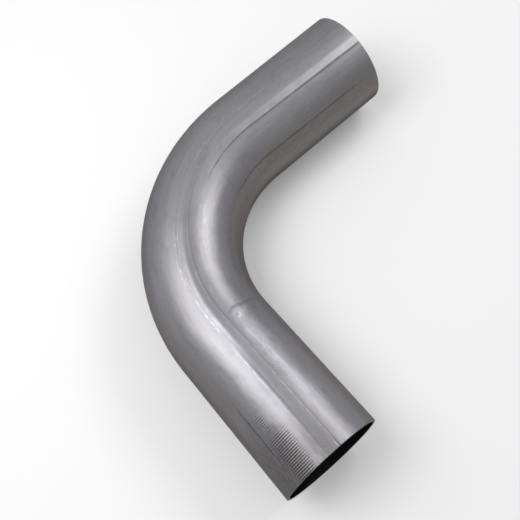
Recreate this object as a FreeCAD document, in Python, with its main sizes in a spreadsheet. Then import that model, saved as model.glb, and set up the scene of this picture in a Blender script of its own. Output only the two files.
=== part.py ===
import FreeCAD, Part
import math
import os
import Sketcher

# Mandrel bend tube for an exhaust: one length of round steel tube, bent once, both ends sawn square.
# Millimetres and degrees. The bend lies flat in the XY plane with its centre at the origin:
# leg A runs along +X, leg B leaves the bend turned by the bend angle, which is +Y for a right angle.
# At the end the tube is set down, so that its box's bottom centre is the origin.

NODE = "bent_tube"
OUTPUT = "parts"

# Driving dimensions: alias, value, meaning.
DRIVING = [
    ("tube_diameter", 63.5, "outside diameter of the tube"),
    ("wall_thickness", 1.6, "wall of the tube before it is bent"),
    ("bend_radius", 95.25, "radius of the bend, to the middle of the tube"),
    ("bend_angle", 90.0, "turn of the bend"),
    ("leg_a_length", 92.0, "straight leg that the clamp gripped"),
    ("leg_b_length", 89.0, "straight leg on the other side of the bend"),
    ("wall_shift", 0.35, "how far the bore moves outwards at the middle of the bend"),
    ("rim_break", 0.25, "chamfer that takes the burr off each rim"),
    ("parting_width", 6.6, "width of the flat left by the gap between the dies"),
    ("parting_lean", 4.5, "turn of that flat from the crown towards the inside of the bend"),
    ("drawn_width", 6.0, "width, at leg B's end, of the flat drawn along that leg"),
    ("drawn_lean", 18.0, "turn of the drawn flat from the crown towards the inside of the bend"),
    ("drawn_lift", 0.02, "how far that flat's plane clears the tube where the bend ends"),
    ("step_height", 0.2, "height of the bulge that the clamp pushed up where the bend starts"),
    ("step_rise", 6.0, "length of its rise, on leg A"),
    ("step_fall", 2.0, "length of its fall, in the bend"),
    ("step_turn", 125.0, "turn of its middle from the outside of the bend"),
    ("step_reach", 34.0, "turn that it covers"),
    ("step_sink", 0.05, "how far the bulge's toes lie under the tube's surface"),
    ("step_overlap", 6.0, "turn that its hidden ends cover beyond that"),
    ("run_out", 3.0, "length by which a cut runs past what it cuts"),
]

# Sizes worked out from them: alias, formula, meaning.
DERIVED = [
    ("outside_radius", "=tube_diameter / 2", "radius of the outside"),
    ("bore_radius", "=outside_radius - wall_thickness", "radius of the bore"),
    # A tighter arc between the same two legs lies nearer to their corner, so the wall
    # is thinned on the outside of the bend, thickened on the inside, and whole at the legs.
    ("arc_pull", "=wall_shift / (1 / cos(bend_angle / 2) - 1)", "how much tighter the bore's arc is"),
    ("bore_bend_radius", "=bend_radius - arc_pull", "radius of the bore's arc"),
    ("arc_pull_along", "=arc_pull * tan(bend_angle / 2)", "how much later the bore's arc starts"),
    ("cut_leg_a", "=leg_a_length + run_out", "leg A of a path for a cut on the outside"),
    ("cut_leg_b", "=leg_b_length + run_out", "leg B of the same path"),
    ("bore_leg_a", "=cut_leg_a + arc_pull_along", "leg A of the bore's path"),
    ("bore_leg_b", "=cut_leg_b + arc_pull_along", "leg B of the bore's path"),
    ("parting_height", "=sqrt(outside_radius ^ 2 - (parting_width / 2) ^ 2)", "flat to tube axis"),
    ("parting_slab", "=parting_width + 2 * run_out", "width of the slab that cuts the flat"),
    ("no_offset", "=0", "a path that shares the bend's centre"),
    ("drawn_height", "=sqrt(outside_radius ^ 2 - (drawn_width / 2) ^ 2)", "that flat to the axis"),
    ("drawn_foot", "=outside_radius + drawn_lift", "its plane to the axis where the bend ends"),
    ("drawn_fall", "=(drawn_foot - drawn_height) / leg_b_length", "how fast that plane nears the axis"),
    ("drawn_tip", "=drawn_foot - drawn_fall * cut_leg_b", "its plane to the axis past leg B's end"),
    ("drawn_slab", "=drawn_width + 2 * run_out", "width of the slab that cuts it"),
    ("section_turn_b", "=90 - bend_angle", "turn of leg B's cross sections about the bend's axis"),
    # The bulge is part of a ring about an axis inside the tube's own, so it fades at its sides.
    ("step_half", "=step_reach / 2 * pi / 180", "half the bulge's turn, in radians"),
    ("step_offset", "=1 / (step_half ^ 2 / (2 * step_height) + 1 / outside_radius)", "axis of the bulge"),
    ("step_plane", "=180 - step_turn", "turn of the bulge's sketch plane about leg A"),
    ("step_crest", "=outside_radius + step_height", "top of the bulge to leg A's axis"),
    ("step_toe", "=outside_radius - step_sink", "its toes to leg A's axis"),
    ("step_end", "=-step_fall", "where its fall ends, from the start of the bend"),
    ("step_root", "=outside_radius - wall_thickness / 2", "its hidden side, in the middle of the wall"),
    ("step_turns", "=step_reach + step_overlap", "turn from one hidden end to the other"),
    ("step_sweep", "=step_turns * step_crest / (step_crest - step_offset)", "the same about its own axis"),
]


def fill_sheet(doc):
    """Write the driving and derived sizes to the sheet, one row each."""
    sheet = doc.addObject("Spreadsheet::Sheet", "sizes")
    for row, (alias, value, meaning) in enumerate(DRIVING + DERIVED, start=1):
        sheet.set(f"A{row}", meaning)
        sheet.set(f"B{row}", str(value))
        sheet.setAlias(f"B{row}", alias)
    doc.recompute()
    return sheet


def origin_plane(body, role):
    """Return one of the body's own origin planes."""
    return next(item for item in body.Origin.OriginFeatures if item.Role == role)


def new_sketch(body, name, role):
    """Add a sketch on one of the body's origin planes."""
    sketch = body.newObject("Sketcher::SketchObject", name)
    sketch.AttachmentSupport = [(origin_plane(body, role), "")]
    sketch.MapMode = "FlatFace"
    return sketch


def constrain(sketch, *parts):
    """Add a geometric constraint."""
    sketch.addConstraint(Sketcher.Constraint(*parts))


def dimension(sketch, sheet, alias, *parts):
    """Add a dimension that follows a cell of the sheet."""
    index = sketch.addConstraint(Sketcher.Constraint(*parts, sheet.get(alias)))
    sketch.setExpression(f"Constraints[{index}]", f"sizes.{alias}")


def tube_path(body, sheet, name, radius, along, across, leg_a, leg_b):
    """Sketch leg A, the arc and leg B of a path in the bend's plane.

    The other arguments are aliases: the arc's radius, the offsets of its centre from
    the bend's centre along leg A and across it, and the lengths of the two legs.
    """
    sketch = new_sketch(body, name, "XY_Plane")
    centre = FreeCAD.Vector(-sheet.get(along), -sheet.get(across), 0)
    start = math.radians(270)
    stop = start - math.radians(sheet.get("bend_angle"))
    circle = Part.Circle(centre, FreeCAD.Vector(0, 0, 1), sheet.get(radius))
    arc = sketch.addGeometry(Part.ArcOfCircle(circle, stop, start))
    foot_a = circle.value(start)
    foot_b = circle.value(stop)
    heading = FreeCAD.Vector(math.sin(stop), -math.cos(stop), 0)
    tip_a = foot_a + FreeCAD.Vector(sheet.get(leg_a), 0, 0)
    tip_b = foot_b + heading * sheet.get(leg_b)
    line_a = sketch.addGeometry(Part.LineSegment(tip_a, foot_a))
    line_b = sketch.addGeometry(Part.LineSegment(foot_b, tip_b))
    constrain(sketch, "Tangent", line_a, 2, arc, 2)
    constrain(sketch, "Tangent", line_b, 1, arc, 1)
    constrain(sketch, "Horizontal", line_a)
    dimension(sketch, sheet, along, "DistanceX", arc, 3, -1, 1)
    dimension(sketch, sheet, across, "DistanceY", arc, 3, -1, 1)
    dimension(sketch, sheet, radius, "Radius", arc)
    dimension(sketch, sheet, "bend_angle", "Angle", arc)
    dimension(sketch, sheet, leg_a, "Distance", line_a)
    dimension(sketch, sheet, leg_b, "Distance", line_b)
    return sketch


def section_a(body, name, leg_a):
    """Add a sketch across leg A, at the start of a path with that leg."""
    sketch = new_sketch(body, name, "YZ_Plane")
    sketch.setExpression("AttachmentOffset.Base.z", f"sizes.{leg_a}")
    return sketch


def section_b(body, name, leg_b):
    """Add a sketch across leg B, at the end of a path with that leg."""
    sketch = new_sketch(body, name, "XZ_Plane")
    upright = FreeCAD.Rotation(FreeCAD.Vector(0, 1, 0), 0)
    sketch.AttachmentOffset = FreeCAD.Placement(FreeCAD.Vector(), upright)
    sketch.setExpression("AttachmentOffset.Rotation.Angle", "sizes.section_turn_b")
    sketch.setExpression("AttachmentOffset.Base.x", f"-sizes.{leg_b} * cos(sizes.bend_angle)")
    sketch.setExpression("AttachmentOffset.Base.z", f"-sizes.{leg_b} * sin(sizes.bend_angle)")
    return sketch


def round_section(body, sheet, name, radius, leg_a):
    """Sketch a circle about leg A's axis."""
    sketch = section_a(body, name, leg_a)
    middle = FreeCAD.Vector(-sheet.get("bend_radius"), 0, 0)
    circle = sketch.addGeometry(Part.Circle(middle, FreeCAD.Vector(0, 0, 1), sheet.get(radius)))
    constrain(sketch, "PointOnObject", circle, 3, -1)
    dimension(sketch, sheet, "bend_radius", "DistanceX", circle, 3, -1, 1)
    dimension(sketch, sheet, radius, "Radius", circle)
    return sketch


def slab_section(sketch, sheet, lean_name, foot_name, width_name):
    """Sketch a slab whose lower edge is the flat that it cuts, seen along a leg.

    The arguments after the sheet are aliases: the flat's lean, its distance from the
    leg's axis and the slab's width.
    """
    lean = math.radians(sheet.get(lean_name))
    out = FreeCAD.Vector(math.sin(lean), math.cos(lean), 0)
    side = FreeCAD.Vector(math.cos(lean), -math.sin(lean), 0) * (sheet.get(width_name) / 2)
    rise = out * sheet.get("run_out")
    axis = FreeCAD.Vector(-sheet.get("bend_radius"), 0, 0)
    foot = axis + out * sheet.get(foot_name)
    radial = sketch.addGeometry(Part.LineSegment(axis, foot), True)
    corners = [foot - side, foot + side, foot + side + rise, foot - side + rise]
    edges = []
    for first, second in zip(corners, corners[1:] + corners[:1]):
        edges.append(sketch.addGeometry(Part.LineSegment(first, second)))
    for before, after in zip(edges, edges[1:] + edges[:1]):
        constrain(sketch, "Coincident", before, 2, after, 1)
    flat, right, top, left = edges
    constrain(sketch, "PointOnObject", radial, 1, -1)
    constrain(sketch, "Perpendicular", radial, flat)
    constrain(sketch, "Symmetric", flat, 1, flat, 2, radial, 2)
    constrain(sketch, "Perpendicular", flat, right)
    constrain(sketch, "Parallel", flat, top)
    constrain(sketch, "Parallel", right, left)
    dimension(sketch, sheet, "bend_radius", "DistanceX", radial, 1, -1, 1)
    dimension(sketch, sheet, foot_name, "Distance", radial)
    dimension(sketch, sheet, width_name, "Distance", flat)
    dimension(sketch, sheet, "run_out", "Distance", right)
    turn = sketch.addConstraint(Sketcher.Constraint("Angle", -2, 1, radial, 1, -lean))
    sketch.setExpression(f"Constraints[{turn}]", f"-sizes.{lean_name}")
    return sketch


def turned_plane(body, name, turn_name):
    """Add a sketch on a plane through leg A's axis, turned about it.

    Its X runs from the start of the bend along leg A, and its Y runs out of the tube.
    """
    sketch = new_sketch(body, name, "XY_Plane")
    along = FreeCAD.Vector(1, 0, 0)
    sketch.AttachmentOffset = FreeCAD.Placement(FreeCAD.Vector(), FreeCAD.Rotation(along, 0))
    sketch.setExpression("AttachmentOffset.Rotation.Angle", f"sizes.{turn_name}")
    sketch.setExpression("AttachmentOffset.Base.y", "-sizes.bend_radius")
    return sketch


def ring_profile(sketch, sheet, offset_name, points):
    """Sketch a closed outline beside a construction line, which is the axis of its ring.

    Each point is a pair of aliases: along the leg from the start of the bend, and away
    from leg A's axis. The construction line lies an offset from leg A's axis.
    """
    places = [FreeCAD.Vector(sheet.get(along), sheet.get(away), 0) for along, away in points]
    first = FreeCAD.Vector(places[0].x, sheet.get(offset_name), 0)
    second = FreeCAD.Vector(places[1].x, sheet.get(offset_name), 0)
    axis = sketch.addGeometry(Part.LineSegment(first, second), True)
    edges = []
    for start, stop in zip(places, places[1:] + places[:1]):
        edges.append(sketch.addGeometry(Part.LineSegment(start, stop)))
    for before, after in zip(edges, edges[1:] + edges[:1]):
        constrain(sketch, "Coincident", before, 2, after, 1)
    for edge, (along, away) in zip(edges, points):
        dimension(sketch, sheet, along, "DistanceX", -1, 1, edge, 1)
        dimension(sketch, sheet, away, "DistanceY", -1, 1, edge, 1)
    constrain(sketch, "Horizontal", axis)
    dimension(sketch, sheet, offset_name, "DistanceY", -1, 1, axis, 1)
    constrain(sketch, "Vertical", axis, 1, edges[0], 1)
    constrain(sketch, "Vertical", axis, 2, edges[1], 1)
    return sketch


def sweep(body, kind, name, section, path):
    """Add a pipe feature of the section along the path."""
    feature = body.newObject(kind, name)
    feature.Profile = section
    feature.Spine = (path, [])
    body.Document.recompute()
    return feature


def rim_edges(solid):
    """Name the edges of the two sawn ends, which are the only flat faces of a plain bent tube."""
    ends = [face for face in solid.Faces if isinstance(face.Surface, Part.Plane)]
    rims = [edge for face in ends for edge in face.Edges]
    numbered = enumerate(solid.Edges, start=1)
    return [f"Edge{number}" for number, edge in numbered if any(edge.isSame(rim) for rim in rims)]


def build_tube(doc, sheet):
    """Build the tube and return its body."""
    body = doc.addObject("PartDesign::Body", NODE)
    body.Label = NODE

    centreline = tube_path(body, sheet, "centreline", "bend_radius", "no_offset", "no_offset",
                           "leg_a_length", "leg_b_length")
    outside_section = round_section(body, sheet, "outside_section", "outside_radius", "leg_a_length")
    doc.recompute()
    sweep(body, "PartDesign::AdditivePipe", "outside", outside_section, centreline)

    bore_path = tube_path(body, sheet, "bore_path", "bore_bend_radius", "arc_pull_along", "arc_pull",
                          "bore_leg_a", "bore_leg_b")
    bore_section = round_section(body, sheet, "bore_section", "bore_radius", "cut_leg_a")
    doc.recompute()
    bore = sweep(body, "PartDesign::SubtractivePipe", "bore", bore_section, bore_path)

    rims = body.newObject("PartDesign::Chamfer", "rims")
    rims.Base = (bore, rim_edges(bore.Shape))
    rims.setExpression("Size", "sizes.rim_break")
    doc.recompute()

    marks = [parting_flat(body, sheet), drawn_flat(body, sheet), clamp_step(body, sheet)]
    both = body.newObject("PartDesign::Mirrored", "marks_below")
    both.Originals = marks
    both.MirrorPlane = (origin_plane(body, "XY_Plane"), [""])
    body.Tip = both
    doc.recompute()
    return body


def parting_flat(body, sheet):
    """Cut the flat that the gap between the dies left along the whole tube."""
    path = tube_path(body, sheet, "parting_path", "bend_radius", "no_offset", "no_offset",
                     "cut_leg_a", "cut_leg_b")
    slab = section_a(body, "parting_section", "cut_leg_a")
    slab_section(slab, sheet, "parting_lean", "parting_height", "parting_slab")
    body.Document.recompute()
    return sweep(body, "PartDesign::SubtractivePipe", "parting_flat", slab, path)


def drawn_flat(body, sheet):
    """Cut the flat drawn along leg B, which starts where the bend ends and deepens."""
    start = section_b(body, "drawn_start", "no_offset")
    slab_section(start, sheet, "drawn_lean", "drawn_foot", "drawn_slab")
    stop = section_b(body, "drawn_stop", "cut_leg_b")
    slab_section(stop, sheet, "drawn_lean", "drawn_tip", "drawn_slab")
    body.Document.recompute()
    flat = body.newObject("PartDesign::SubtractiveLoft", "drawn_flat")
    flat.Profile = start
    flat.Sections = [stop]
    flat.Ruled = True
    body.Document.recompute()
    return flat


def clamp_step(body, sheet):
    """Add the low bulge that the clamp's edge pushed up where the bend starts."""
    sketch = turned_plane(body, "step_profile", "step_plane")
    outline = [("step_rise", "step_root"), ("step_end", "step_root"), ("step_end", "step_toe"),
               ("no_offset", "step_crest"), ("step_rise", "step_toe")]
    ring_profile(sketch, sheet, "step_offset", outline)
    body.Document.recompute()
    ring = body.newObject("PartDesign::Revolution", "clamp_step")
    ring.Profile = sketch
    ring.ReferenceAxis = (sketch, ["Axis0"])
    ring.Midplane = True
    ring.setExpression("Angle", "sizes.step_sweep")
    body.Document.recompute()
    return ring


def set_down(body):
    """Move the tube so that the bottom centre of its box is the origin."""
    box = body.Shape.optimalBoundingBox(False, False)
    body.Placement.Base = FreeCAD.Vector(-box.Center.x, -box.Center.y, -box.ZMin)
    body.Document.recompute()


def check(doc, body):
    """Stop if anything failed, or if a feature changed nothing."""
    for item in doc.Objects:
        if "Invalid" in item.State or "Error" in item.State:
            raise RuntimeError(f"{item.Name} failed: {item.State}")
    if body.Shape.isNull() or not body.Shape.isValid() or len(body.Shape.Solids) != 1:
        raise RuntimeError(f"{body.Label} is not one valid solid")
    volumes = [item.Shape.Volume for item in body.Group if hasattr(item, "AddSubShape")]
    names = [item.Name for item in body.Group if hasattr(item, "AddSubShape")]
    for name, before, after in zip(names[1:], volumes, volumes[1:]):
        if math.isclose(after, before):
            raise RuntimeError(f"{name} changed nothing")


def main():
    """Build the tube, check it and write it out."""
    doc = FreeCAD.newDocument("mandrel_bend")
    sheet = fill_sheet(doc)
    body = build_tube(doc, sheet)
    set_down(body)
    check(doc, body)
    os.makedirs(OUTPUT, exist_ok=True)
    body.Shape.exportStep(os.path.join(OUTPUT, f"{body.Label}.step"))
    print(f"{body.Label}: {body.Shape.Volume:.1f} cubic mm, {len(body.Shape.Faces)} faces")


main()
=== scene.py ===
"""Mandrel bent exhaust tube in mill-finished steel, lying on a pale floor in soft studio light.

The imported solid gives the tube's place and size. The tube is modelled again over it with the
marks that the bender left: the flats between the dies, the clamp's grip rows, the step at the
start of the bend and the drawn lines. Lengths are metres, turns round the tube are degrees
from the outside of the bend, with the crown at 90.
"""

import logging
import math
from dataclasses import dataclass
from enum import Enum

import bmesh
import bpy
import numpy as np
from mathutils import Euler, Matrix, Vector

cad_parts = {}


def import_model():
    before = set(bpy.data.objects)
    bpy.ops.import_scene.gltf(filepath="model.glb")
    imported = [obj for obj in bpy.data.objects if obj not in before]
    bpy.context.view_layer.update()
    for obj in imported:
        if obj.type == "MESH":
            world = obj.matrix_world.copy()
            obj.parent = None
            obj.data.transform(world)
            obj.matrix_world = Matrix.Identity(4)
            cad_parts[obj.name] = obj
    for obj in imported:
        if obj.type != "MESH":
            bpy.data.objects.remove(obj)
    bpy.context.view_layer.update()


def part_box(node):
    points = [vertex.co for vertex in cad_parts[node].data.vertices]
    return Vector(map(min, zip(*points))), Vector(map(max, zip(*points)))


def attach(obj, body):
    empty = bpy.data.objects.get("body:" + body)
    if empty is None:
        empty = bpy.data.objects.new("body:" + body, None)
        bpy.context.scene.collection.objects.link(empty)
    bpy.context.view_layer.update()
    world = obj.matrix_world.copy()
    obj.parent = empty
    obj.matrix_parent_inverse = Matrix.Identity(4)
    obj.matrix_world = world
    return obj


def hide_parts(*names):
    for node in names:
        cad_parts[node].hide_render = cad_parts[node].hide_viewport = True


LOG = logging.getLogger("bent_tube")
MM = 0.001
NODE = "bent_tube"
BODY = "root"
LEG_A = 92 * MM
LEG_B = 89 * MM
BEND_RADIUS = 95.25 * MM
# What each mark leaves for the finishes, stored as attributes of the mesh: a darkening along
# the lines and painted shade elsewhere, bright nicks that are partly painted highlight, an
# even painted highlight, and the clamp's print.
LAYERS = ("grime_and_shade", "polish_and_glint", "painted_sheen", "grip")
# How near a vertex has to be to a ring's radius, to its plane and to a rim to belong to it.
RING_SLACK = 0.2 * MM
PLANE_SLACK = 1e-6
RIM_SLACK = 0.01 * MM
# Vertices nearer to each other than this are made one.
WELD = 1e-7
# A mark leaves a vertex alone where its weight is smaller than this.
LEAST_WEIGHT = 0.002
# The lamps are turned to the middle of the tube, this far from the bend's centre.
AIM_OFFSET = Vector((-0.03, -0.03, 0.0))


class Area(Enum):
    """The surfaces of the tube that have a finish of their own, by material slot."""

    OUTSIDE = 0
    BORE = 1
    RIM = 2


def smooth_step(value: np.ndarray, low: float, high: float) -> np.ndarray:
    """Rise smoothly from nought at one value to one at another.

    Args:
        value: the values to weigh.
        low: where the rise starts.
        high: where it ends.

    Returns:
        Weights from nought to one.
    """
    share = np.clip((value - low) / (high - low), 0.0, 1.0)
    return share * share * (3.0 - 2.0 * share)


@dataclass(frozen=True)
class CentreLine:
    """The tube's centre line: leg A towards +X, the bend about its centre, leg B towards +Y."""

    centre: Vector
    bend_radius: float
    leg_a: float
    leg_b: float

    @property
    def arc(self) -> float:
        """Length of the centre line's arc."""
        return self.bend_radius * math.pi / 2

    @property
    def length(self) -> float:
        """Length of the whole centre line."""
        return self.leg_a + self.arc + self.leg_b

    @property
    def tip_a(self) -> Vector:
        """Middle of leg A's sawn end."""
        return self.centre + Vector((self.leg_a, -self.bend_radius, 0.0))

    @property
    def tip_b(self) -> Vector:
        """Middle of leg B's sawn end."""
        return self.centre + Vector((-self.bend_radius, self.leg_b, 0.0))

    def straighten(self, points: np.ndarray) -> np.ndarray:
        """Unroll points of the tube as if it had not been bent.

        Args:
            points: places in the frame, one row each.

        Returns:
            One row each: length from leg A's end, reach towards the outside of the bend,
            and reach upwards, both from the centre line.
        """
        x, y, z = (points - np.array(self.centre)).T
        on_a = x > 0.0
        on_b = (y > 0.0) & ~on_a
        turn = np.arctan2(np.maximum(-x, 0.0), np.maximum(-y, 1e-12))
        along = self.leg_a + self.bend_radius * turn
        along = np.where(on_a, self.leg_a - x, np.where(on_b, self.leg_a + self.arc + y, along))
        reach = np.where(on_a, -y, np.where(on_b, -x, np.hypot(x, y))) - self.bend_radius
        return np.stack([along, reach, z], axis=1)


@dataclass(frozen=True)
class Mark:
    """A mark on the outside that runs along the tube.

    Its middle lies at turn_start degrees where it starts and at turn_stop where it ends.
    A positive height stands proud and a negative one is sunk. Its grime is how much darker it
    makes the steel: along the drawn lines, and as painted shade where it lies on the lower sides
    or dims a highlight. Its polish is how bright its nicks are, partly polished steel and partly
    painted highlight; its sheen is an even painted highlight; and its grip is how plainly the
    clamp's dotted rows show, with painted highlight on the dots and painted shade between rows.
    """

    name: str
    start: float
    stop: float
    turn_start: float
    turn_stop: float
    width: float
    height: float
    fade_in: float = 1 * MM
    fade_out: float = 1 * MM
    grime_and_shade: float = 0.0
    polish_and_glint: float = 0.0
    painted_sheen: float = 0.0
    grip: float = 0.0
    both_sides: bool = True

    def middle(self, along: np.ndarray) -> np.ndarray:
        """Give the turn of the mark's middle at each length."""
        return np.interp(along, [self.start, self.stop], [self.turn_start, self.turn_stop])

    def ends(self, along: np.ndarray) -> np.ndarray:
        """Fade the mark in and out along the tube."""
        fade_in = smooth_step(along, self.start - self.fade_in, self.start + self.fade_in)
        fade_out = 1.0 - smooth_step(along, self.stop - self.fade_out, self.stop + self.fade_out)
        return fade_in * fade_out

    def across(self, off: np.ndarray, along: np.ndarray) -> np.ndarray:
        """Give the mark's profile across the tube.

        Args:
            off: turn from the mark's middle, in degrees.
            along: length from leg A's end; not used by this plain profile.

        Returns:
            Share of the height, from nought to one.
        """
        return np.exp(-((off / (0.6 * self.width)) ** 2))

    def weigh(self, along: np.ndarray, turn: np.ndarray) -> np.ndarray:
        """Give the share of the mark's height at each place of the outside.

        Args:
            along: length from leg A's end.
            turn: turn round the tube, from -180 to 180.

        Returns:
            Weights from nought to one.
        """
        height = np.abs(turn) if self.both_sides else turn
        return self.across(height - self.middle(along), along) * self.ends(along)


@dataclass(frozen=True)
class DieFlat(Mark):
    """A flat that the gap between the two dies left: its width is a chord of the section."""

    def across(self, off: np.ndarray, along: np.ndarray) -> np.ndarray:
        """Give the depth of a chord under the round, as a share of its depth at the middle."""
        half = math.radians(self.width / 2)
        inside = np.clip(np.abs(np.radians(off)), 0.0, half)
        return (1.0 - math.cos(half) / np.cos(inside)) / (1.0 - math.cos(half))


@dataclass(frozen=True)
class Band(Mark):
    """An even band of painted highlight: soft towards the crown, plain at its lower edge."""

    def across(self, off: np.ndarray, along: np.ndarray) -> np.ndarray:
        """Give the band's profile: level, with a long slope at one edge and a short one."""
        upper = smooth_step(off, -0.64 * self.width, -0.26 * self.width)
        return upper * (1.0 - smooth_step(off, 0.40 * self.width, 0.50 * self.width))


@dataclass(frozen=True)
class DrawnFlat(Mark):
    """A flat that starts where the bend ends and deepens along leg B, as a tilted plane cuts it."""

    fade_in: float = 0.0
    fade_out: float = 0.0
    radius: float = 31.75 * MM
    lift: float = 0.02 * MM

    def across(self, off: np.ndarray, along: np.ndarray) -> np.ndarray:
        """Give the tilted plane's depth under the round, as a share of its depth at the end."""
        run = (along - self.start) / (self.stop - self.start)
        foot = self.radius + self.lift + (self.height - self.lift) * run
        inside = np.clip(np.radians(off), -0.5, 0.5)
        return np.clip(self.radius - foot / np.cos(inside), 0.0, None) / -self.height

    def ends(self, along: np.ndarray) -> np.ndarray:
        """Keep the flat to the leg."""
        return (along > self.start).astype(float)


@dataclass(frozen=True)
class GripRows(Mark):
    """Close rows pressed across the tube by the clamp's serrated jaws, fading at both sides."""

    pitch: float = 1.3 * MM
    ragged: float = 2.5

    def across(self, off: np.ndarray, along: np.ndarray) -> np.ndarray:
        """Give the rows' profile, with the edge of each row a little out of line."""
        row = np.floor(along / self.pitch)
        wander = self.ragged * np.sin(row * 12.9898) * np.cos(row * 4.1414)
        side = 1.0 - smooth_step(np.abs(off + wander), 0.32 * self.width, 0.58 * self.width)
        tooth = 0.5 - 0.5 * np.cos(2.0 * math.pi * along / self.pitch)
        return side * tooth**1.5


@dataclass(frozen=True)
class ClampStep(Mark):
    """A low bulge pushed up at the clamp's edge: a long rise, then a short fall."""

    crest: float = 0.70
    ragged: float = 0.5 * MM

    def ends(self, along: np.ndarray) -> np.ndarray:
        """Rise to the crest and fall behind it."""
        top = self.start + self.crest * (self.stop - self.start)
        rise = smooth_step(along, self.start, top)
        return rise * (1.0 - smooth_step(along, top, self.stop))

    def weigh(self, along: np.ndarray, turn: np.ndarray) -> np.ndarray:
        """Give the bulge's share of its height, with a crest that isn't quite square across."""
        wander = self.ragged * (np.sin(np.abs(turn) * 0.31) + 0.6 * np.sin(np.abs(turn) * 0.83))
        return super().weigh(along + wander, turn)


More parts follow.
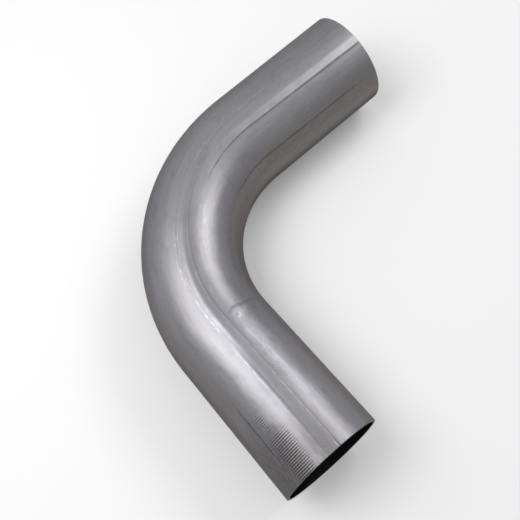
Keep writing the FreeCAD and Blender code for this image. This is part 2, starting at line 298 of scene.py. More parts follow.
MARKS: tuple[Mark, ...] = (
    DieFlat("die_flat", -10 * MM, 76 * MM, 94.5, 94.5, 11.9, -0.172 * MM, 1 * MM, 26 * MM),
    DieFlat("die_flat_bend", 76 * MM, 190 * MM, 97.2, 96.6, 7.6, -0.070 * MM, 26 * MM, 26 * MM),
    DrawnFlat("drawn_flat", 241.6 * MM, 330.6 * MM, 108.0, 108.0, 10.8, -0.142 * MM),
    # Painted highlights: the band and the three marks below it brighten the steel's colour as if
    # more light fell there.
    Band("drawn_band", 236 * MM, 345 * MM, 105.8, 109.0, 9.0, -0.002 * MM, 36 * MM, 1 * MM,
         polish_and_glint=0.20, painted_sheen=0.98),
    Mark("bend_highlight", 168 * MM, 214 * MM, 104.0, 105.0, 13.0, -0.002 * MM, 24 * MM, 18 * MM,
         painted_sheen=0.24),
    Mark("edge_highlight", 64 * MM, 146 * MM, 91.6, 91.0, 5.0, -0.002 * MM, 16 * MM, 32 * MM,
         painted_sheen=0.55),
    Mark("crown_highlight", 222 * MM, 300 * MM, 88.0, 88.0, 14.0, -0.002 * MM, 20 * MM, 20 * MM,
         painted_sheen=0.10),
    # Raised lines, nicks and scuffs: their brightness is partly polished steel, partly painted
    # highlight.
    Mark("parting_edge", 45 * MM, 165 * MM, 87.0, 86.8, 1.5, 0.009 * MM, 32 * MM, 22 * MM,
         polish_and_glint=0.55),
    Mark("parting_rim", -10 * MM, 82 * MM, 101.4, 100.6, 1.1, 0.018 * MM, 1 * MM, 14 * MM,
         polish_and_glint=0.62),
    Mark("parting_foot", -10 * MM, 150 * MM, 103.0, 101.2, 1.0, -0.018 * MM, 1 * MM, 25 * MM, 0.2),
    Mark("end_line", -5 * MM, 6 * MM, 103.3, 102.4, 1.2, -0.05 * MM, 1 * MM, 3 * MM, 0.85),
    Mark("parting_line", 10 * MM, 56 * MM, 90.6, 90.6, 1.3, -0.03 * MM, 6 * MM, 10 * MM, 0.3),
    Mark("parting_shade", 50 * MM, 150 * MM, 96.4, 97.0, 3.8, -0.012 * MM, 20 * MM, 20 * MM, 0.12),
    Mark("drawn_crown", 138 * MM, 172 * MM, 86.2, 85.6, 1.2, -0.05 * MM, 12 * MM, 10 * MM, 0.28),
    Mark("drawn_over", 120 * MM, 196 * MM, 84.4, 82.0, 1.6, 0.015 * MM, 12 * MM, 14 * MM,
         polish_and_glint=0.6),
    Mark("drawn_line", 84 * MM, 190 * MM, 102.2, 97.8, 1.2, -0.040 * MM, 16 * MM, 12 * MM, 0.42),
    # Painted highlight: a light line beside the drawn line.
    Mark("drawn_glint", 88 * MM, 168 * MM, 100.2, 97.0, 1.3, 0.010 * MM, 14 * MM, 14 * MM,
         polish_and_glint=0.36),
    Mark("second_line", 192 * MM, 345 * MM, 109.2, 115.4, 1.9, -0.06 * MM, 10 * MM, 1 * MM, 0.70),
    # Painted highlight: a light line on leg B's inner side.
    Mark("second_glint", 192 * MM, 250 * MM, 100.6, 103.6, 2.2, 0.012 * MM, 14 * MM, 14 * MM,
         polish_and_glint=0.35),
    # Painted highlight in the second highlight through the bend.
    Mark("bend_glint", 132 * MM, 192 * MM, 115.0, 116.0, 4.0, 0.010 * MM, 8 * MM, 18 * MM,
         polish_and_glint=0.18),
    Mark("inner_specks", 54 * MM, 82 * MM, 111.5, 110.0, 6.0, 0.004 * MM, 5 * MM, 4 * MM,
         polish_and_glint=0.26),
    Mark("bend_scuff", 200 * MM, 268 * MM, 86.6, 86.6, 4.0, -0.020 * MM, 10 * MM, 12 * MM, 0.14,
         polish_and_glint=0.45),
    Mark("leg_scuff", 284 * MM, 322 * MM, 86.0, 87.0, 3.0, -0.012 * MM, 4 * MM, 6 * MM, 0.10,
         polish_and_glint=0.28),
    Mark("inner_line", 190 * MM, 318 * MM, 149.0, 152.0, 2.8, -0.05 * MM, 18 * MM, 16 * MM, 0.68),
    # Painted shade on the lower inner side; along leg B the steel there is also soiled.
    Mark("inner_soil_and_shade", 100 * MM, 345 * MM, 160.0, 162.0, 26.0, -0.003 * MM, 22 * MM, 1 * MM, 0.40),
    Mark("bend_lower_shade", 108 * MM, 232 * MM, 147.0, 150.0, 13.0, -0.003 * MM, 16 * MM, 26 * MM, 0.36),
    Mark("leg_lower_shade", -10 * MM, 96 * MM, 145.0, 150.0, 18.0, -0.003 * MM, 1 * MM, 16 * MM, 0.17),
    # Painted shade dimming the key highlight.
    Mark("key_shade", 94 * MM, 132 * MM, 75.0, 73.0, 9.0, -0.003 * MM, 12 * MM, 14 * MM, 0.17),
    # Painted shade on the lower outer side.
    Mark("outer_lower_shade", 40 * MM, 190 * MM, 38.0, 38.0, 15.0, -0.003 * MM, 16 * MM, 20 * MM, 0.22),
    # Darkens the outside near leg A's end.
    Mark("mouth_darkening", -10 * MM, 14 * MM, 75.0, 75.0, 110.0, -0.002 * MM, 1 * MM, 16 * MM, 0.14),
    # Painted shade low on the outer side.
    Mark("outer_foot_shade", -10 * MM, 110 * MM, 26.0, 24.0, 34.0, -0.003 * MM, 1 * MM, 36 * MM, 0.20),
    Mark("outer_line", 3 * MM, 50 * MM, 47.8, 48.2, 1.6, -0.05 * MM, 5 * MM, 12 * MM, 0.80),
    GripRows("grip_rows", 1 * MM, 28 * MM, 65.0, 65.0, 21.0, -0.08 * MM, 1 * MM, 2 * MM),
    GripRows("grip_tail", 28 * MM, 46 * MM, 62.5, 61.5, 18.0, -0.04 * MM, 2 * MM, 6 * MM),
    GripRows("grip_faint", 8 * MM, 44 * MM, 42.5, 42.5, 14.0, -0.02 * MM, 4 * MM, 6 * MM),
    Mark("grip_field", 0 * MM, 26 * MM, 64.5, 64.5, 22.0, -0.002 * MM, 2 * MM, 3 * MM, grip=1.0),
    Mark("grip_field_tail", 27 * MM, 45 * MM, 61.5, 60.5, 17.0, -0.002 * MM, 3 * MM, 7 * MM,
         grip=0.62),
    Mark("grip_field_faint", 8 * MM, 42 * MM, 42.0, 42.5, 14.0, -0.002 * MM, 6 * MM, 8 * MM,
         grip=0.46),
    Mark("grip_field_crown", 0 * MM, 50 * MM, 89.0, 88.6, 6.0, -0.002 * MM, 1 * MM, 14 * MM,
         grip=0.42),
    # Painted shade round the clamp's rows.
    Mark("grip_shade", -10 * MM, 26 * MM, 61.0, 59.5, 24.0, -0.003 * MM, 1 * MM, 12 * MM, 0.80),
    Mark("grip_smudge", 25 * MM, 31 * MM, 67.0, 66.0, 10.0, -0.003 * MM, 3 * MM, 4 * MM, 0.40),
    # Painted shade on the lower outer side beside the grip rows.
    Mark("grip_lower_shade", -10 * MM, 34 * MM, 40.0, 40.0, 34.0, -0.003 * MM, 1 * MM, 22 * MM, 0.54),
    # Painted shade dimming both highlights near leg A's end.
    Mark("end_shade", -10 * MM, 20 * MM, 86.0, 86.0, 15.0, -0.003 * MM, 1 * MM, 12 * MM, 0.38),
    Mark("inner_end_shade", -10 * MM, 22 * MM, 120.0, 120.0, 18.0, -0.003 * MM, 1 * MM, 16 * MM,
         grime_and_shade=0.2),
    ClampStep("clamp_step", 85.5 * MM, 94 * MM, 125.0, 125.0, 32.0, 0.19 * MM),
    # Painted highlight on the lit side of the clamp's bulge.
    Mark("clamp_highlight", 84.5 * MM, 89.5 * MM, 111.5, 113.5, 9.5, 0.012 * MM, 2.5 * MM, 2 * MM,
         polish_and_glint=0.42),
    Mark("clamp_tick", 88.0 * MM, 88.8 * MM, 112.0, 112.0, 3.4, -0.05 * MM, 0.4 * MM, 0.5 * MM,
         grime_and_shade=0.5),
)


@dataclass
class BentTube:
    """The tube, modelled as it is made: a ring drawn along leg A, spun through the bend.

    Sectors are the turns between which the ring is divided closer, each with the cuts in an
    edge. Rows are how closely the tube is divided along it: leg A by lengths in mm and the bend
    by degrees, each with its number of rows.
    """

    line: CentreLine
    box: tuple[Vector, Vector]
    outside_radius: float = 31.75 * MM
    wall: float = 1.6 * MM
    wall_shift: float = 0.35 * MM
    rim_break: float = 0.25 * MM
    smooth_angle: float = 32.0
    ring_sides: int = 120
    sectors: tuple[tuple[float, float, int], ...] = (
        (84, 117, 5), (33, 78, 1), (45, 51, 2), (147, 153, 3), (-117, -84, 2), (-78, -33, 1)
    )
    leg_a_rows: tuple[tuple[float, int], ...] = ((26, 80), (26, 80), (32, 16), (8, 16))
    bend_rows: tuple[tuple[float, int], ...] = ((3.0, 10), (87.0, 66))
    leg_b_rows: int = 30
    bore_leg_rows: int = 2
    bore_bend_rows: int = 48
    marks: tuple[Mark, ...] = MARKS
    piece: bpy.types.Object | None = None

    @property
    def bore_radius(self) -> float:
        """Radius of the bore in the legs."""
        return self.outside_radius - self.wall

    @property
    def sawn_ends(self) -> tuple[tuple[int, float], ...]:
        """The axis that each sawn end lies across, and its place on that axis."""
        return (0, self.line.tip_a.x), (1, self.line.tip_b.y)

    def build(self) -> bpy.types.Object:
        """Model the tube, press its marks and lay out its finishes.

        Returns:
            The finished piece.
        """
        self.lay_ring()
        self.draw_outside()
        self.draw_bore()
        self.close_rims()
        self.press_marks()
        self.store_place()
        self.part_surfaces()
        self.sharpen_rims()
        LOG.info("%s: %d faces", self.piece.name, len(self.piece.data.polygons))
        return self.piece

    def lay_ring(self) -> None:
        """Lay a round ring at leg A's end, closer divided where the marks are."""
        bpy.ops.mesh.primitive_circle_add(
            vertices=self.ring_sides,
            radius=self.outside_radius,
            location=self.line.tip_a,
            rotation=Euler((0.0, math.radians(90.0), 0.0)),
        )
        self.piece = bpy.context.object
        self.piece.name = "bent_tube_steel"
        self.piece.data.name = self.piece.name
        self.edit()
        for low, high, cuts in self.sectors:
            self.divide_sector(low, high, cuts)
        self.leave()
        cast = self.piece.modifiers.new("round", "CAST")
        cast.cast_type = "CYLINDER"
        cast.factor = 1.0
        cast.use_radius_as_size = False
        cast.size = self.outside_radius
        bpy.ops.object.modifier_apply(modifier=cast.name)
        bpy.ops.object.transform_apply(location=True, rotation=True, scale=True)

    def divide_sector(self, low: float, high: float, cuts: int) -> None:
        """Divide the ring's edges between two turns.

        Args:
            low: the sector's first turn.
            high: its last turn.
            cuts: cuts in each edge.
        """
        mesh = bmesh.from_edit_mesh(self.piece.data)
        bpy.ops.mesh.select_all(action="DESELECT")
        place = self.piece.matrix_world
        for edge in mesh.edges:
            middle = place @ ((edge.verts[0].co + edge.verts[1].co) / 2)
            turn = math.degrees(self.turn_at_tip(middle))
            edge.select_set(low < turn < high)
        bmesh.update_edit_mesh(self.piece.data)
        bpy.ops.mesh.subdivide(number_cuts=cuts)

    def turn_at_tip(self, point: Vector) -> float:
        """Give the turn round leg A's end of a place, in radians."""
        off = point - self.line.tip_a
        return math.atan2(off.z, -off.y)

    def edit(self) -> None:
        """Open the piece for editing by vertices and edges."""
        bpy.ops.object.mode_set(mode="EDIT")
        bpy.context.tool_settings.mesh_select_mode = (True, True, False)

    def leave(self) -> None:
        """Close the piece again."""
        bpy.ops.object.mode_set(mode="OBJECT")

    def select_rings(self, axis: int, place: float, *radii: float) -> None:
        """Select the vertices and edges of one ring, or of more in the same plane.

        Args:
            axis: the axis that the rings lie across.
            place: where on that axis they lie.
            *radii: their radii.
        """
        tip = self.line.tip_a if axis == 0 else self.line.tip_b
        bpy.ops.mesh.select_all(action="DESELECT")
        mesh = bmesh.from_edit_mesh(self.piece.data)
        ring = set()
        for vertex in mesh.verts:
            off = vertex.co - tip
            off[axis] = 0.0
            on_ring = any(abs(off.length - radius) < RING_SLACK for radius in radii)
            if abs(vertex.co[axis] - place) < PLANE_SLACK and on_ring:
                ring.add(vertex)
                vertex.select_set(True)
        for edge in mesh.edges:
            if edge.verts[0] in ring and edge.verts[1] in ring:
                edge.select_set(True)
        bmesh.update_edit_mesh(self.piece.data)

    def draw_leg(self, step: Vector, parts: int, radius: float) -> None:
        """Draw the selected ring out along a leg and divide what it leaves.

        Args:
            step: how far the ring is drawn, along +X, -X or +Y.
            parts: rows of faces in that length.
            radius: the ring's radius.
        """
        bpy.ops.mesh.extrude_region_move(TRANSFORM_OT_translate={"value": step})
        axis = 0 if abs(step.x) > abs(step.y) else 1
        mesh = bmesh.from_edit_mesh(self.piece.data)
        end = next(vertex.co[axis] for vertex in mesh.verts if vertex.select)
        if parts > 1:
            drawn = [e for e in mesh.edges if e.verts[0].select != e.verts[1].select]
            bpy.ops.mesh.select_all(action="DESELECT")
            for edge in drawn:
                edge.select_set(True)
            bmesh.update_edit_mesh(self.piece.data)
            bpy.ops.mesh.subdivide(number_cuts=parts - 1)
        self.select_rings(axis, end, radius)

    def spin(self, centre: Vector, degrees: float, steps: int) -> None:
        """Turn the selected ring about the bend's centre.

        Args:
            centre: centre of the arc.
            degrees: turn, from leg A towards leg B.
            steps: rows of faces.
        """
        bpy.ops.mesh.spin(
            steps=steps, angle=math.radians(degrees), center=centre, axis=(0.0, 0.0, 1.0)
        )

    def draw_outside(self) -> None:
        """Draw the outside: leg A with its grip zone, the bend and leg B."""
        self.edit()
        self.select_rings(0, self.line.tip_a.x, self.outside_radius)
        for length, rows in self.leg_a_rows:
            self.draw_leg(Vector((-length * MM, 0.0, 0.0)), rows, self.outside_radius)
        for degrees, rows in self.bend_rows:
            self.spin(self.line.centre, degrees, rows)
        self.draw_leg(Vector((0.0, self.line.leg_b, 0.0)), self.leg_b_rows, self.outside_radius)
        self.leave()

    def draw_bore(self) -> None:
        """Draw the bore on a tighter arc, so that the wall is thin outside the bend."""
        pull = self.wall_shift / (1.0 / math.cos(math.radians(45.0)) - 1.0)
        radius, rows = self.bore_radius, self.bore_leg_rows
        share = radius / self.outside_radius
        tip = self.line.tip_a
        self.edit()
        self.select_rings(0, tip.x, self.outside_radius)
        bpy.ops.mesh.duplicate()
        bpy.ops.transform.resize(value=(1.0, share, share), center_override=tip)
        self.select_rings(0, tip.x, radius)
        self.draw_leg(Vector((-self.line.leg_a - pull, 0.0, 0.0)), rows, radius)
        self.spin(self.line.centre - Vector((pull, pull, 0.0)), 90.0, self.bore_bend_rows)
        self.draw_leg(Vector((0.0, self.line.leg_b + pull, 0.0)), rows, radius)
        self.leave()

    def close_rims(self) -> None:
        """Join the outside to the bore at both ends and take the burr off the rims."""
        radii = (self.bore_radius, self.outside_radius)
        self.edit()
        for axis, place in self.sawn_ends:
            self.select_rings(axis, place, *radii)
            bpy.ops.mesh.bridge_edge_loops()
        bpy.ops.mesh.select_all(action="SELECT")
        bpy.ops.mesh.remove_doubles(threshold=WELD)
        bpy.ops.mesh.select_all(action="SELECT")
        bpy.ops.mesh.normals_make_consistent(inside=False)
        for axis, place in self.sawn_ends:
            for radius in radii:
                self.select_rings(axis, place, radius)
                bpy.ops.mesh.bevel(
                    offset=self.rim_break, offset_type="WIDTH", segments=2, affect="EDGES"
                )
        self.leave()

    def points(self) -> np.ndarray:
        """Give every vertex's place, one row each."""
        points = np.zeros(len(self.piece.data.vertices) * 3)
        self.piece.data.vertices.foreach_get("co", points)
        return points.reshape(-1, 3)

    def straight(self) -> np.ndarray:
        """Give every vertex's place on the tube as if it had not been bent."""
        return self.line.straighten(self.points())

    def press_marks(self) -> None:
        """Press each mark with a displacement that follows its own vertex group."""
        sawn = self.points()
        along, reach, rise = self.straight().T
        turn = np.degrees(np.arctan2(rise, reach))
        outside = np.hypot(reach, rise) > self.outside_radius - 0.6 * self.wall
        layers = {name: np.zeros(len(along)) for name in LAYERS}
        for mark in self.marks:
            weights = np.where(outside, mark.weigh(along, turn), 0.0)
            group = self.piece.vertex_groups.new(name=mark.name)
            for index in np.flatnonzero(weights > LEAST_WEIGHT):
                group.add([int(index)], float(weights[index]), "REPLACE")
            press = self.piece.modifiers.new(mark.name, "DISPLACE")
            press.strength = mark.height
            press.mid_level = 0.0
            press.vertex_group = group.name
            bpy.ops.object.modifier_apply(modifier=press.name)
            for name, layer in layers.items():
                np.maximum(layer, getattr(mark, name) * weights, out=layer)
            LOG.info("%s pressed", mark.name)
        self.piece.vertex_groups.clear()
        self.keep_square(sawn)
        for name, layer in layers.items():
            stored = self.piece.data.attributes.new(name, "FLOAT", "POINT")
            stored.data.foreach_set("value", layer.astype(np.float32))

    def keep_square(self, sawn: np.ndarray) -> None:
        """Keep the ends square, which the marks tip, and level what rose past the solid's box.

        Args:
            sawn: every vertex's place before the marks.
        """
        points = self.points()
        for axis, place in self.sawn_ends:
            rim = np.abs(sawn[:, axis] - place) < self.rim_break + RIM_SLACK
            points[rim, axis] = sawn[rim, axis]
        low, high = (np.array(corner) for corner in self.box)
        self.piece.data.vertices.foreach_set("co", np.clip(points, low, high).ravel())
        self.piece.data.update()

    def store_place(self) -> None:
        """Store every vertex's place on the straight tube, which the finishes follow."""
        layer = self.piece.data.attributes.new("straight", "FLOAT_VECTOR", "POINT")
        layer.data.foreach_set("vector", self.straight().astype(np.float32).ravel())

    def part_surfaces(self) -> None:
        """Give each face its surface: the outside, the bore or a rim."""
        mesh = self.piece.data
        for area in Area:
            mesh.materials.append(None)
        centres = np.zeros(len(mesh.polygons) * 3)
        mesh.polygons.foreach_get("center", centres)
        along, reach, rise = self.line.straighten(centres.reshape(-1, 3)).T
        middle = self.outside_radius - self.wall / 2
        at_end = (along < self.rim_break) | (along > self.line.length - self.rim_break)
        area = np.where(np.hypot(reach, rise) > middle, Area.OUTSIDE.value, Area.BORE.value)
        area = np.where(at_end, Area.RIM.value, area)
        mesh.polygons.foreach_set("material_index", area.astype(np.int32))

    def sharpen_rims(self) -> None:
        """Shade the tube smooth, and keep the edges round the rims' faces sharp."""
        bpy.ops.object.shade_smooth_by_angle(angle=math.radians(self.smooth_angle))
        self.edit()
        bpy.ops.mesh.select_all(action="DESELECT")
        bpy.context.tool_settings.mesh_select_mode = (False, False, True)
        mesh = bmesh.from_edit_mesh(self.piece.data)
        for face in mesh.faces:
            face.select_set(face.material_index == Area.RIM.value)
        bmesh.update_edit_mesh(self.piece.data)
        bpy.ops.mesh.region_to_loop()
        bpy.ops.mesh.mark_sharp()
        self.leave()


class Graph:
    """The node tree of one finish, built from its inputs to its shader."""

    def __init__(self, name: str) -> None:
        """Start an empty material.

        Args:
            name: the material's name.
        """
        self.material = bpy.data.materials.new(name)
        self.material.use_nodes = True
        self.tree = self.material.node_tree
        self.tree.nodes.clear()

    def node(self, kind: str, **settings: object) -> bpy.types.Node:
        """Add a node.

        Args:
            kind: the node's type.
            **settings: its own settings.

        Returns:
            The node.
        """
        made = self.tree.nodes.new(kind)
        for name, value in settings.items():
            setattr(made, name, value)
        return made

    def feed(self, target: bpy.types.NodeSocket, source: object) -> None:
        """Link a socket to an input, or set the input to a plain value."""
        if isinstance(source, bpy.types.NodeSocket):
            self.tree.links.new(source, target)
        else:
            target.default_value = source

    def calc(self, operation: str, *values: object, clamp: bool = False) -> bpy.types.NodeSocket:
        """Work out a number from one, two or three others."""
        made = self.node("ShaderNodeMath", operation=operation, use_clamp=clamp)
        for target, value in zip(made.inputs, values):
            self.feed(target, value)
        return made.outputs[0]

    def attribute(self, name: str, output: str) -> bpy.types.NodeSocket:
        """Read an attribute of the mesh."""
        return self.node("ShaderNodeAttribute", attribute_name=name).outputs[output]

    def stretched(self, source: bpy.types.NodeSocket, scale: tuple[float, float, float],
                  shift: float = 0.0) -> bpy.types.NodeSocket:
        """Scale a place for a pattern, with its own shift so that no two patterns agree."""
        made = self.node("ShaderNodeMapping")
        self.feed(made.inputs["Vector"], source)
        made.inputs["Scale"].default_value = scale
        made.inputs["Location"].default_value = (shift, shift * 0.7, shift * 1.3)
        return made.outputs[0]

    def noise(self, place: bpy.types.NodeSocket, detail: float = 2.0,
              roughness: float = 0.5) -> bpy.types.NodeSocket:
        """Give cloudy noise from nought to one at a scaled place."""
        made = self.node("ShaderNodeTexNoise")
        self.feed(made.inputs["Vector"], place)
        made.inputs["Scale"].default_value = 1.0
        made.inputs["Detail"].default_value = detail
        made.inputs["Roughness"].default_value = roughness
        return made.outputs["Fac"]

    def remap(self, value: bpy.types.NodeSocket, low: float, high: float, first: float,
              last: float) -> bpy.types.NodeSocket:
        """Map a number from one range to another, clamped, with a smooth rise."""
        made = self.node("ShaderNodeMapRange", interpolation_type="SMOOTHSTEP")
        for name, number in (("Value", value), ("From Min", low), ("From Max", high),
                             ("To Min", first), ("To Max", last)):
            self.feed(made.inputs[name], number)
        return made.outputs[0]

    def blend(self, share: object, first: object, second: object,
              mode: str = "MIX") -> bpy.types.NodeSocket:
        """Mix two colours by a share."""
        made = self.node("ShaderNodeMix", data_type="RGBA", blend_type=mode)
        self.feed(made.inputs[0], share)
        self.feed(made.inputs[6], first)
        self.feed(made.inputs[7], second)
        return made.outputs[2]

    def bump(self, height: bpy.types.NodeSocket, distance: float,
             under: bpy.types.NodeSocket | None = None) -> bpy.types.NodeSocket:
        """Turn a height from nought to one into a normal.

        Args:
            height: the height.
            distance: how high one is.
            under: a normal to lay it over.

        Returns:
            The normal.
        """
        made = self.node("ShaderNodeBump")
        made.inputs["Distance"].default_value = distance
        self.feed(made.inputs["Height"], height)
        if under is not None:
            self.feed(made.inputs["Normal"], under)
        return made.outputs[0]

    def steel(self, colour: bpy.types.NodeSocket, rough: bpy.types.NodeSocket,
              normal: bpy.types.NodeSocket, edge_tint: float = 1.0) -> bpy.types.Material:
        """Close the finish with a shader of bare metal.

        Args:
            colour: the metal's colour.
            rough: its roughness.
            normal: its relief.
            edge_tint: how bright it is where it is seen edge on.

        Returns:
            The material.
        """
        shader = self.node("ShaderNodeBsdfPrincipled")
        shader.inputs["Metallic"].default_value = 1.0
        shader.inputs["Specular Tint"].default_value = rgba((edge_tint,) * 3)
        self.feed(shader.inputs["Base Color"], colour)
        self.feed(shader.inputs["Roughness"], rough)
        self.feed(shader.inputs["Normal"], normal)
        self.feed(self.node("ShaderNodeOutputMaterial").inputs["Surface"], shader.outputs[0])
        return self.material


@dataclass(frozen=True)
class Pattern:
    """A cloudy pattern on the straight tube: how close it lies along and across, per metre.

    Each has a shift of its own, so that no two agree.
    """

    along: float
    across: float
    shift: float
    detail: float = 2.0
    roughness: float = 0.5

    def lay(self, graph: Graph, straight: bpy.types.NodeSocket) -> bpy.types.NodeSocket:
        """Lay the pattern, from nought to one.

        Args:
            graph: the finish's nodes.
            straight: the place on the straight tube.

        Returns:
            The pattern.
        """
        place = graph.stretched(straight, (self.along, self.across, self.across), self.shift)
        return graph.noise(place, self.detail, self.roughness)


def rgba(colour: tuple[float, float, float]) -> tuple[float, float, float, float]:
    """Give a colour as nodes take it."""
    return (*colour, 1.0)


@dataclass(frozen=True)
class MillSteel:
    """Outside of the tube: drawn steel, faintly streaked along it and clouded by oil and heat, with
    painted shade on its lower sides and over some marks, and painted highlights on its crown.
    """

    name: str = "mill_steel"
    bright: tuple[float, float, float] = (0.299, 0.293, 0.308)
    dull: tuple[float, float, float] = (0.268, 0.262, 0.278)
    # Darker, browner colour of the lower sides: painted shade.
    warm: tuple[float, float, float] = (0.250, 0.233, 0.229)
    cool: tuple[float, float, float] = (0.266, 0.261, 0.293)
    # Colour of the polished nicks, also of the painted highlights.
    rubbed: tuple[float, float, float] = (0.50, 0.495, 0.513)
    soot_and_shade: tuple[float, float, float] = (0.058, 0.050, 0.049)
    edge_tint: float = 0.36
    roughness: float = 0.42
    waviness: float = 0.42 * MM
    grain: float = 0.004 * MM
    ripple: float = 0.09 * MM
    nick: float = 0.015 * MM
    film: float = 0.14
    tooth: float = 0.03 * MM
    row_pitch: float = 1.3 * MM
    dot_turn: float = 3.0
    flank_top: float = 23.5 * MM
    flank_foot: float = 14.0 * MM

    def grip_dots(self, graph: Graph, straight: bpy.types.NodeSocket,
                  grip: bpy.types.NodeSocket) -> tuple[bpy.types.NodeSocket, bpy.types.NodeSocket]:
        """Lay the print of the clamp's toothed jaws: dots in rows brightened as painted highlight,
        painted shade between them.

        Args:
            graph: the finish's nodes.
            straight: the place on the straight tube.
            grip: how plainly the print shows.

        Returns:
            The dots' strength and the painted shade between the rows.
        """
        split = graph.node("ShaderNodeSeparateXYZ")
        graph.feed(split.inputs[0], straight)
        along, reach, rise = split.outputs
        turn = graph.calc("ARCTAN2", graph.calc("ABSOLUTE", rise), reach)
        row = graph.calc("COSINE", graph.calc("MULTIPLY", along, 2.0 * math.pi / self.row_pitch))
        spot = graph.calc("COSINE", graph.calc("MULTIPLY", turn, 360.0 / self.dot_turn))
        ragged = Pattern(330.0, 260.0, 71.0, 2.0, 0.6).lay(graph, straight)
        plain = graph.calc("MULTIPLY", grip, graph.remap(ragged, 0.30, 0.62, 0.62, 1.0))
        plain = graph.remap(plain, 0.22, 0.74, 0.0, 1.0)
        rows = graph.remap(row, -0.5, 0.8, 0.0, 1.0)
        lattice = graph.calc("MULTIPLY", rows, graph.remap(spot, -0.8, 0.8, 0.5, 1.0))
        dots = graph.calc("MULTIPLY", plain, lattice)
        dark = graph.calc("MULTIPLY", plain, graph.calc("SUBTRACT", 1.0, rows))
        return dots, dark

    def flank(self, graph: Graph, straight: bpy.types.NodeSocket) -> bpy.types.NodeSocket:
        """Give how far down the tube's side a place is, where the steel is painted darker and
        browner as shade.
        """
        split = graph.node("ShaderNodeSeparateXYZ")
        graph.feed(split.inputs[0], straight)
        return graph.remap(split.outputs[2], self.flank_foot, self.flank_top, 1.0, 0.0)

    def make(self) -> bpy.types.Material:
        """Build the finish.

        Returns:
            The material.
        """
        graph = Graph(self.name)
        straight = graph.attribute("straight", "Vector")
        grime_and_shade, polish_and_glint, painted_sheen, grip = (graph.attribute(name, "Fac") for name in LAYERS)
        streaks = Pattern(14.0, 520.0, 3.0, 3.0, 0.6).lay(graph, straight)
        grain = Pattern(60.0, 2400.0, 9.0).lay(graph, straight)
        clouds = Pattern(26.0, 75.0, 17.0, 3.0, 0.55).lay(graph, straight)
        tints = Pattern(12.0, 48.0, 31.0).lay(graph, straight)
        waves = Pattern(38.0, 95.0, 53.0, 2.0, 0.4).lay(graph, straight)
        specks = Pattern(420.0, 700.0, 41.0, 1.0).lay(graph, straight)
        breaks = Pattern(260.0, 1100.0, 61.0, 2.0, 0.6).lay(graph, straight)
        mottle = Pattern(120.0, 170.0, 83.0, 3.0, 0.6).lay(graph, straight)
        pepper = Pattern(900.0, 1500.0, 97.0, 1.0).lay(graph, straight)
        # Bright nicks: partly polished steel, partly painted highlight.
        nicks = graph.calc("MULTIPLY", polish_and_glint, graph.remap(breaks, 0.46, 0.62, 0.15, 1.0))
        dots, row_shade = self.grip_dots(graph, straight, grip)
        grime_and_shade = graph.calc("MULTIPLY", grime_and_shade, graph.remap(breaks, 0.34, 0.56, 0.62, 1.0))
        # The even painted highlight, clouded a little.
        painted_sheen = graph.calc("MULTIPLY", painted_sheen, graph.remap(mottle, 0.30, 0.60, 0.62, 1.0))
        flank = self.flank(graph, straight)

        mix = graph.calc("ADD", graph.calc("MULTIPLY", streaks, 0.5),
                         graph.calc("MULTIPLY", clouds, 0.5))
        colour = graph.blend(graph.remap(mix, 0.38, 0.62, 0.0, 1.0), rgba(self.dull),
                             rgba(self.bright))
        colour = graph.blend(graph.remap(tints, 0.50, 0.32, 0.0, 0.8), colour, rgba(self.cool))
        # Painted shade: the lower sides are darker and browner, by height.
        side_shade = graph.calc("MULTIPLY", flank, graph.remap(tints, 0.30, 0.62, 0.6, 1.0))
        colour = graph.blend(side_shade, colour, rgba(self.warm))
        fleck = graph.remap(specks, 0.68, 0.76, 0.0, 0.24)
        fleck = graph.calc("MAXIMUM", fleck, graph.remap(mottle, 0.48, 0.30, 0.0, self.film))
        fleck = graph.calc("MAXIMUM", fleck, graph.remap(pepper, 0.50, 0.34, 0.0, self.film / 2))
        # Painted shade between the clamp's rows.
        colour = graph.blend(graph.calc("MULTIPLY", row_shade, 0.70), colour, rgba(self.soot_and_shade))
        # Darker along the lines, painted shade where marks darken the lower sides and dim
        # highlights; the random flecks are the steel's own tone.
        colour = graph.blend(graph.calc("MAXIMUM", grime_and_shade, fleck), colour, rgba(self.soot_and_shade))
        # Painted highlight from the even sheen and the clamp's dots, with the nicks that are partly
        # polished steel.
        shine = graph.calc("MAXIMUM", nicks, painted_sheen)
        shine = graph.calc("MAXIMUM", shine, graph.calc("MULTIPLY", dots, 0.46))
        colour = graph.blend(shine, colour, rgba(self.rubbed))

        rough = graph.calc("ADD", self.roughness - 0.06, graph.calc("MULTIPLY", clouds, 0.08))
        rough = graph.calc("ADD", rough, graph.calc("MULTIPLY", grain, 0.04))
        rough = graph.calc("ADD", rough, graph.calc("MULTIPLY", grime_and_shade, 0.15))
        rough = graph.calc("SUBTRACT", rough, graph.calc("MULTIPLY", shine, 0.12), clamp=True)

        normal = graph.bump(waves, self.waviness)
        normal = graph.bump(streaks, self.grain * 2.0, normal)
        normal = graph.bump(grain, self.grain, normal)
        normal = graph.bump(mottle, self.ripple, normal)
        normal = graph.bump(nicks, self.nick, normal)
        normal = graph.bump(dots, self.tooth, normal)
        return graph.steel(colour, rough, normal, self.edge_tint)


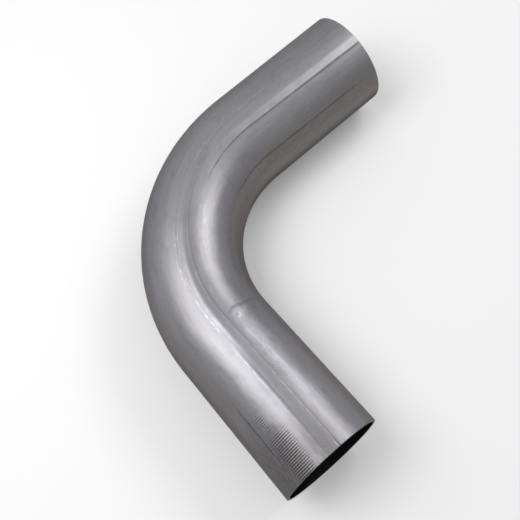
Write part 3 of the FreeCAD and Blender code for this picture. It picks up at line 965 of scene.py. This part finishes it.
@dataclass(frozen=True)
class BoreSteel:
    """Inside of the tube: painted near black as shade, with faint streaks along it where the
    mandrel rubbed.
    """

    name: str = "bore_steel"
    # Painted shade: the bore's colours are near black.
    dark: tuple[float, float, float] = (0.013, 0.013, 0.014)
    rubbed: tuple[float, float, float] = (0.018, 0.018, 0.019)
    edge_tint: float = 0.14
    roughness: float = 0.62
    relief: float = 0.03 * MM

    def make(self) -> bpy.types.Material:
        """Build the finish.

        Returns:
            The material.
        """
        graph = Graph(self.name)
        straight = graph.attribute("straight", "Vector")
        rubs = Pattern(9.0, 260.0, 5.0, 3.0, 0.6).lay(graph, straight)
        clouds = Pattern(60.0, 90.0, 13.0, 3.0).lay(graph, straight)
        share = graph.remap(rubs, 0.4, 0.65, 0.0, 1.0)
        colour = graph.blend(share, rgba(self.dark), rgba(self.rubbed))
        rough = graph.calc("ADD", self.roughness - 0.06, graph.calc("MULTIPLY", clouds, 0.12))
        return graph.steel(colour, rough, graph.bump(rubs, self.relief), self.edge_tint)


@dataclass(frozen=True)
class SawnSteel:
    """Rims of the tube: sawn steel with the saw's fine lines across it, its colour darkened as
    painted shade.
    """

    name: str = "sawn_steel"
    bright: tuple[float, float, float] = (0.21, 0.21, 0.22)
    dull: tuple[float, float, float] = (0.15, 0.15, 0.15)
    roughness: float = 0.8
    relief: float = 0.02 * MM

    def make(self) -> bpy.types.Material:
        """Build the finish.

        Returns:
            The material.
        """
        graph = Graph(self.name)
        place = graph.node("ShaderNodeTexCoord").outputs["Object"]
        lines = graph.noise(graph.stretched(place, (60.0, 60.0, 4200.0), 7.0), 2.0, 0.5)
        share = graph.remap(lines, 0.4, 0.6, 0.0, 1.0)
        colour = graph.blend(share, rgba(self.dull), rgba(self.bright))
        rough = graph.calc("ADD", self.roughness - 0.05, graph.calc("MULTIPLY", lines, 0.1))
        return graph.steel(colour, rough, graph.bump(lines, self.relief))


@dataclass(frozen=True)
class SoftBox:
    """A large soft lamp, by its direction and distance from the tube and its brightness."""

    name: str
    azimuth: float
    elevation: float
    distance: float
    width: float
    height: float
    brightness: float

    def build(self, aim: Vector) -> bpy.types.Object:
        """Hang the lamp and turn it to the tube.

        Args:
            aim: the place that it lights.

        Returns:
            The lamp.
        """
        turn, lift = math.radians(self.azimuth), math.radians(self.elevation)
        away = Vector((math.cos(lift) * math.cos(turn), math.cos(lift) * math.sin(turn),
                       math.sin(lift)))
        lamp = bpy.data.lights.new(self.name, "AREA")
        lamp.shape = "RECTANGLE"
        lamp.size, lamp.size_y = self.width, self.height
        lamp.energy = self.brightness * self.width * self.height * math.pi
        holder = bpy.data.objects.new(self.name, lamp)
        holder.location = aim + away * self.distance
        holder.rotation_euler = (-away).to_track_quat("-Z", "Y").to_euler()
        bpy.context.scene.collection.objects.link(holder)
        LOG.info("%s hung", self.name)
        return holder


BOXES: tuple[SoftBox, ...] = (
    SoftBox("key_box", -120.0, 63.0, 0.62, 0.34, 0.41, 4.3),
    SoftBox("side_box", 91.0, 42.0, 1.67, 0.96, 0.49, 6.0),
    SoftBox("wall_panel", 194.0, 20.0, 0.50, 1.60, 0.32, 0.36),
)


@dataclass
class Studio:
    """The pale floor, the grey surroundings and the soft lamps."""

    aim: Vector
    floor_width: float = 6.0
    floor_gap: float = 0.02 * MM
    floor_colour: tuple[float, float, float] = (0.70, 0.70, 0.70)
    horizon: float = 0.42
    high: float = 0.72
    overhead: float = 0.30
    floor_lift: float = 0.11
    boxes: tuple[SoftBox, ...] = BOXES

    def build(self) -> None:
        """Lay the floor, light the surroundings and hang the lamps."""
        self.lay_floor()
        self.light_surroundings()
        for box in self.boxes:
            box.build(self.aim)

    def lay_floor(self) -> None:
        """Lay a plain floor under the tube."""
        place = (0.0, 0.0, -self.floor_gap)
        bpy.ops.mesh.primitive_plane_add(size=self.floor_width, location=place)
        floor = bpy.context.object
        floor.name = "floor"
        graph = Graph("floor_paper")
        matt = graph.node("ShaderNodeBsdfDiffuse")
        matt.inputs["Color"].default_value = rgba(self.floor_colour)
        path = graph.node("ShaderNodeLightPath")
        seen = graph.calc("MAXIMUM", path.outputs["Is Camera Ray"], path.outputs["Is Glossy Ray"])
        seen = graph.calc("MAXIMUM", seen, path.outputs["Is Transmission Ray"])
        glow = graph.node("ShaderNodeEmission")
        graph.feed(glow.inputs["Strength"], graph.calc("MULTIPLY", seen, self.floor_lift))
        both = graph.node("ShaderNodeAddShader")
        graph.feed(both.inputs[0], matt.outputs[0])
        graph.feed(both.inputs[1], glow.outputs[0])
        graph.feed(graph.node("ShaderNodeOutputMaterial").inputs["Surface"], both.outputs[0])
        floor.data.materials.append(graph.material)

    def light_surroundings(self) -> None:
        """Light the room around the tube: walls and ceiling, darker straight overhead."""
        world = bpy.data.worlds.new("studio")
        world.use_nodes = True
        tree = world.node_tree
        place = tree.nodes.new("ShaderNodeTexCoord")
        split = tree.nodes.new("ShaderNodeSeparateXYZ")
        ramp = tree.nodes.new("ShaderNodeValToRGB")
        steps = ((0.30, self.horizon), (0.70, self.high), (0.93, self.high), (1.0, self.overhead))
        while len(ramp.color_ramp.elements) < len(steps):
            ramp.color_ramp.elements.new(0.5)
        for element, (at, grey) in zip(ramp.color_ramp.elements, steps):
            element.position = at
            element.color = rgba((grey, grey, grey))
        tree.links.new(place.outputs["Generated"], split.inputs[0])
        tree.links.new(split.outputs["Z"], ramp.inputs["Fac"])
        tree.links.new(ramp.outputs["Color"], tree.nodes["Background"].inputs["Color"])
        bpy.context.scene.world = world


@dataclass(frozen=True)
class Camera:
    """The photograph's view: where the camera stands, how it is turned and its lens."""

    location: tuple[float, float, float] = (0.13928, -0.08587, 0.39963)
    turn: tuple[float, float, float] = (21.591, 7.8945, 49.8195)
    lens: float = 45.146
    sensor: float = 36.0

    def build(self) -> bpy.types.Object:
        """Set up the camera and make it the scene's own.

        Returns:
            The camera.
        """
        data = bpy.data.cameras.new("camera")
        data.lens, data.sensor_width = self.lens, self.sensor
        data.clip_start, data.clip_end = 0.01, 20.0
        holder = bpy.data.objects.new("camera", data)
        holder.location = self.location
        holder.rotation_euler = Euler([math.radians(angle) for angle in self.turn])
        bpy.context.scene.collection.objects.link(holder)
        bpy.context.scene.camera = holder
        return holder


def main() -> None:
    """Build the tube over its solid, dress it, and set up the studio and the camera."""
    logging.basicConfig(level=logging.INFO, format="%(name)s: %(message)s")
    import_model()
    bpy.ops.object.select_all(action="DESELECT")
    low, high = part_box(NODE)
    centre = Vector((high.x - LEG_A, high.y - LEG_B, (low.z + high.z) / 2))
    line = CentreLine(centre, BEND_RADIUS, LEG_A, LEG_B)

    piece = BentTube(line, (low, high)).build()
    for area, finish in zip(Area, (MillSteel(), BoreSteel(), SawnSteel())):
        piece.data.materials[area.value] = finish.make()
        LOG.info("%s has the finish %s", area.name, finish.name)
    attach(piece, BODY)
    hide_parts(NODE)

    Studio(centre + AIM_OFFSET).build()
    Camera().build()
    bpy.context.scene.view_settings.view_transform = "Standard"


if __name__ == "__main__":
    main()
